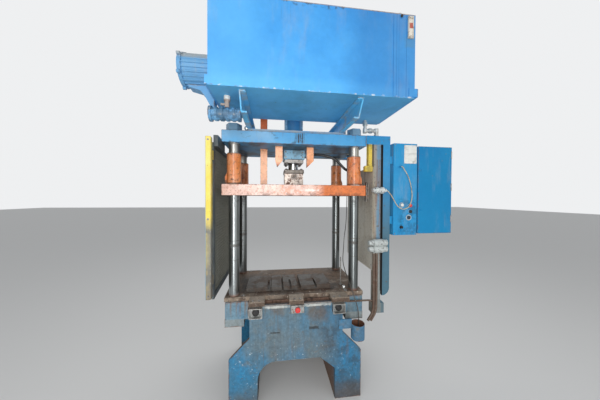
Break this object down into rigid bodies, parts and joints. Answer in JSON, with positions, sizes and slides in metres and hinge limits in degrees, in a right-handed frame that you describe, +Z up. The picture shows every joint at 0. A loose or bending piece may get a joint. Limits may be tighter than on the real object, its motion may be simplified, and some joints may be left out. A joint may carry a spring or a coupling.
{
  "type": "hydraulic press",
  "caption": "Four-post hydraulic press with an overhead oil tank, a downstroking orange platen, slotted bed, palm buttons, side guards and wall boxes.",
  "frame": {"origin": "on the floor, at the middle of the bottom of the bounding box of the whole press with its tank, motor and cabinet", "axes": "+Z up along the columns and the platen's travel, -Y towards the operator's side, +X towards the control cabinet"},
  "size_m": [2.0516, 1.0092, 2.6361],
  "materials": {
    "blue_paint": "sky blue enamel, semi-gloss, worn",
    "faded_blue": "faded blue paint with rust runs",
    "orange_paint": "orange paint, oily and chipped",
    "yellow_paint": "yellow paint",
    "chrome": "hard chrome with scuffs",
    "bare_steel": "dull oily steel",
    "rusty_steel": "brown oily rust",
    "dark_sheet": "dark grey dusty sheet and mesh",
    "rubber": "matte",
    "black_plastic": "satin",
    "red_plastic": "gloss",
    "white_plastic": "gloss"
  },
  "bodies": {
    "frame": {"base_frame": "faded_blue", "side_beam_left": "faded_blue", "side_beam_right": "faded_blue", "bed_plate": "rusty_steel", "column_front_left": "chrome", "column_front_right": "chrome", "column_back_left": "chrome", "column_back_right": "chrome", "crown_plate": "blue_paint", "tank_channel_left": "blue_paint", "tank_channel_right": "blue_paint", "cylinder_head": "bare_steel", "cylinder_barrel": "blue_paint", "cylinder_cap": "bare_steel", "stop_bar_left": "orange_paint", "stop_bar_right": "orange_paint", "tank_shell": "blue_paint", "tank_lid": "blue_paint", "level_gauge": "bare_steel", "motor_body": "blue_paint", "motor_end_bell": "blue_paint", "motor_bracket": "blue_paint", "filter_housing": "blue_paint", "suction_pipe": "bare_steel", "guard_frame_left": "blue_paint", "guard_mesh_left": "dark_sheet", "light_curtain_left": "yellow_paint", "guard_posts_right": "blue_paint", "guard_panel_right": "dark_sheet", "limit_switch": "yellow_paint", "conduit_drop": "rusty_steel", "conduit_cross": "rusty_steel", "control_box": "blue_paint", "control_box_cover": "blue_paint", "control_cabinet": "blue_paint", "palm_box_left": "bare_steel", "palm_box_right": "bare_steel", "stop_button_box": "bare_steel", "drip_cup": "faded_blue", "pressure_hose": "rubber", "lube_line": "rubber", "control_cable": "rubber"},
    "platen": {"platen_plate": "orange_paint", "guide_sleeve_front_left": "orange_paint", "guide_sleeve_front_right": "orange_paint", "guide_sleeve_back_left": "orange_paint", "guide_sleeve_back_right": "orange_paint", "rod_coupling": "bare_steel", "piston_rod": "chrome", "trip_bar": "orange_paint", "cam_plate": "bare_steel"},
    "palm_left": {"palm_button_left": "black_plastic"},
    "palm_right": {"palm_button_right": "black_plastic"},
    "emergency_stop": {"stop_button": "red_plastic"},
    "white_button": {"push_white": "white_plastic"},
    "red_button": {"push_red": "red_plastic"},
    "black_button": {"push_black": "black_plastic"},
    "selector": {"selector_switch": "bare_steel"},
    "door": {"cabinet_door": "blue_paint"}
  },
  "joints": [
    {"name": "platen_stroke", "type": "slide", "parent": "frame", "child": "platen", "axis": [0, 0, -1], "range_m": [-0.03, 0.45]},
    {"name": "palm_left_press", "type": "slide", "parent": "frame", "child": "palm_left", "axis": [0, 1, 0], "range_m": [0, 0.006], "stiffness_N_per_m": 400},
    {"name": "palm_right_press", "type": "slide", "parent": "frame", "child": "palm_right", "axis": [0, 1, 0], "range_m": [0, 0.006], "stiffness_N_per_m": 400},
    {"name": "emergency_stop_press", "type": "slide", "parent": "frame", "child": "emergency_stop", "axis": [0, 1, 0], "range_m": [0, 0.006], "stiffness_N_per_m": 400},
    {"name": "white_press", "type": "slide", "parent": "frame", "child": "white_button", "axis": [0, 1, 0], "range_m": [0, 0.004], "stiffness_N_per_m": 300},
    {"name": "red_press", "type": "slide", "parent": "frame", "child": "red_button", "axis": [0, 1, 0], "range_m": [0, 0.004], "stiffness_N_per_m": 300},
    {"name": "black_press", "type": "slide", "parent": "frame", "child": "black_button", "axis": [0, 1, 0], "range_m": [0, 0.004], "stiffness_N_per_m": 300},
    {"name": "selector_turn", "type": "hinge", "parent": "frame", "child": "selector", "pos_m": [0.6448, -0.135, 1.341], "axis": [0, 1, 0], "range_deg": [0, 60]},
    {"name": "cabinet_door_hinge", "type": "hinge", "parent": "frame", "child": "door", "pos_m": [1.0258, -0.10935, 1.5625], "axis": [0, 0, 1], "range_deg": [0, 100]}
  ]
}
